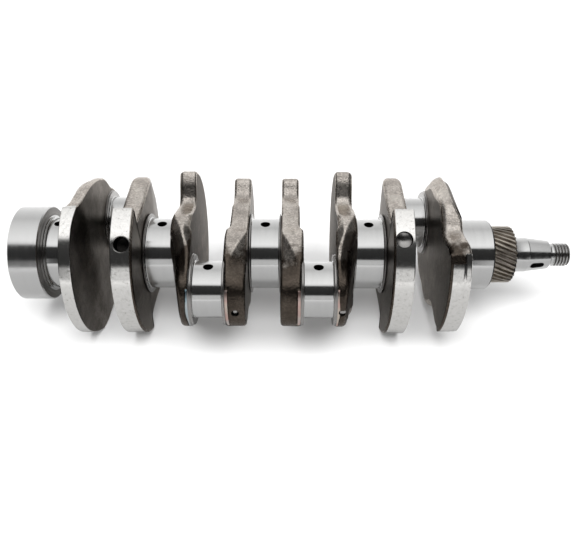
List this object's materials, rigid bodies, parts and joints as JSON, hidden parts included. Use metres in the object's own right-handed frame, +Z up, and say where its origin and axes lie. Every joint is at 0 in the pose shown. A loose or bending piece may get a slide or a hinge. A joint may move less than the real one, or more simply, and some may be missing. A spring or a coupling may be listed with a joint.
{
  "type": "crankshaft",
  "caption": "Forged flat-plane crankshaft for an inline engine, with counterweighted webs, flywheel flange, helical drive gear, threaded nose and pilot bearing.",
  "frame": {"origin": "on the main bearing axis, halfway along the overall length", "axes": "+X along the main axis from the flywheel flange to the threaded nose, +Z up, crank plane level with crankpins 2 and 3 towards -Y"},
  "size_m": [0.4678, 0.159, 0.1262],
  "materials": {
    "forged_steel": "as-forged, dark brown-grey scale, rims of the counterweights machined bright",
    "ground_journal": "ground and polished, fine lines round the journal",
    "machined_steel": "turned, fine tool lines",
    "gear_steel": "hobbed and oiled, brown tint",
    "plug_steel": "bright turned steel",
    "bearing_steel": "ground and polished bearing steel",
    "cage_steel": "pressed sheet steel",
    "seal_rubber": "matte black nitrile"
  },
  "bodies": {
    "crankshaft": {"flywheel_flange": "machined_steel", "main_journal_1": "ground_journal", "main_journal_2": "ground_journal", "main_journal_3": "ground_journal", "main_journal_4": "ground_journal", "main_journal_5": "ground_journal", "crankpin_1": "ground_journal", "crankpin_2": "ground_journal", "crankpin_3": "ground_journal", "crankpin_4": "ground_journal", "web_1": "forged_steel", "web_2": "forged_steel", "web_3": "forged_steel", "web_4": "forged_steel", "web_5": "forged_steel", "web_6": "forged_steel", "web_7": "forged_steel", "web_8": "forged_steel", "front_nose": "machined_steel", "nose_thread": "machined_steel", "gear_key": "plug_steel", "drive_gear": "gear_steel", "oil_plug_1": "plug_steel", "oil_plug_2": "plug_steel", "oil_plug_3": "plug_steel", "oil_plug_4": "plug_steel", "pilot_outer_ring": "bearing_steel", "pilot_shield_rear": "seal_rubber", "pilot_shield_front": "seal_rubber"},
    "pilot_race": {"pilot_inner_ring": "bearing_steel"},
    "pilot_rolling_set": {"pilot_cage": "cage_steel", "pilot_ball_1": "bearing_steel", "pilot_ball_2": "bearing_steel", "pilot_ball_3": "bearing_steel", "pilot_ball_4": "bearing_steel", "pilot_ball_5": "bearing_steel", "pilot_ball_6": "bearing_steel", "pilot_ball_7": "bearing_steel", "pilot_ball_8": "bearing_steel"}
  },
  "joints": [
    {"name": "pilot_race_spin", "type": "hinge", "parent": "crankshaft", "child": "pilot_race", "pos_m": [-0.22685, 0, 0], "axis": [1, 0, 0], "continuous": true},
    {"name": "pilot_rolling_set_spin", "type": "hinge", "parent": "crankshaft", "child": "pilot_rolling_set", "pos_m": [-0.22685, 0, 0], "axis": [1, 0, 0], "continuous": true}
  ],
  "couplings": [
    {"joint": "pilot_rolling_set_spin", "follows": "pilot_race_spin", "ratio": 0.382}
  ]
}
